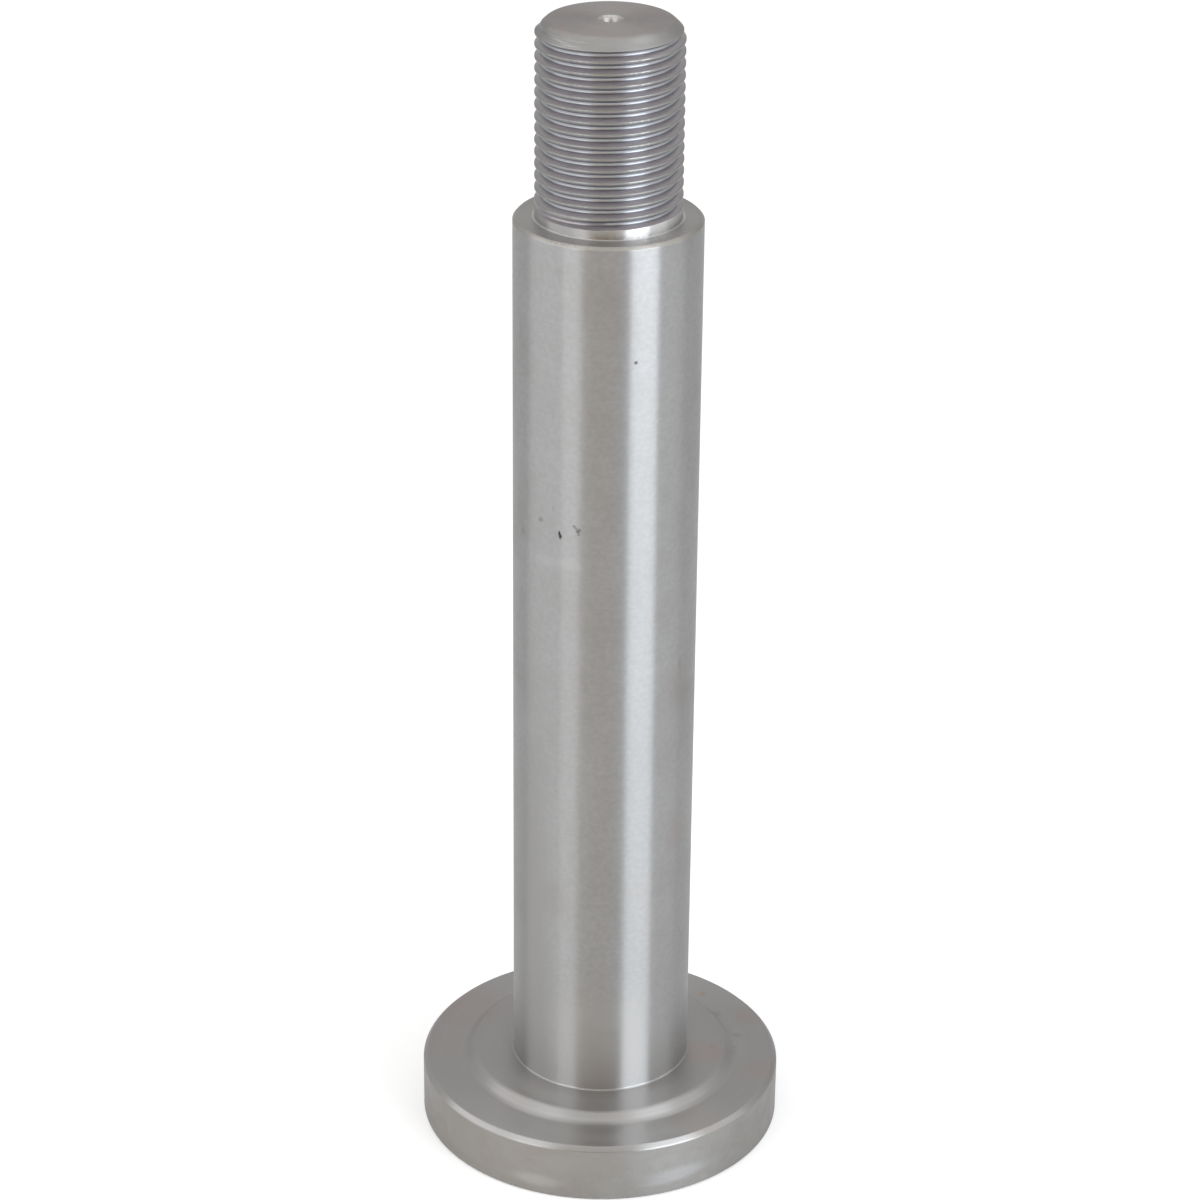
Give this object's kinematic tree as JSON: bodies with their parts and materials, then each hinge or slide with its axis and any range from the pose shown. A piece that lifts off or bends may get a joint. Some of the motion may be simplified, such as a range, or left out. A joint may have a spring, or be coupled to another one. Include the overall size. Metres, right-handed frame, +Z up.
{
  "type": "mower spindle shaft",
  "caption": "Turned steel spindle shaft with a flange and bearing boss at its foot, a plain ground journal and a right-hand threaded end above a shoulder.",
  "frame": {"origin": "centre of the flange's flat underside, where the shaft stands", "axes": "+Z up the shaft's axis from the flange to the threaded end; +X and +Y are square to it, and the thread's groove reaches full depth in the -Y direction just above the collar"},
  "size_m": [0.0584, 0.0584, 0.1854],
  "materials": {
    "turned_steel": "bare steel, turned on the flange and ground on the journal, satin"
  },
  "bodies": {
    "root": {"spindle_shaft": "turned_steel"}
  },
  "joints": []
}
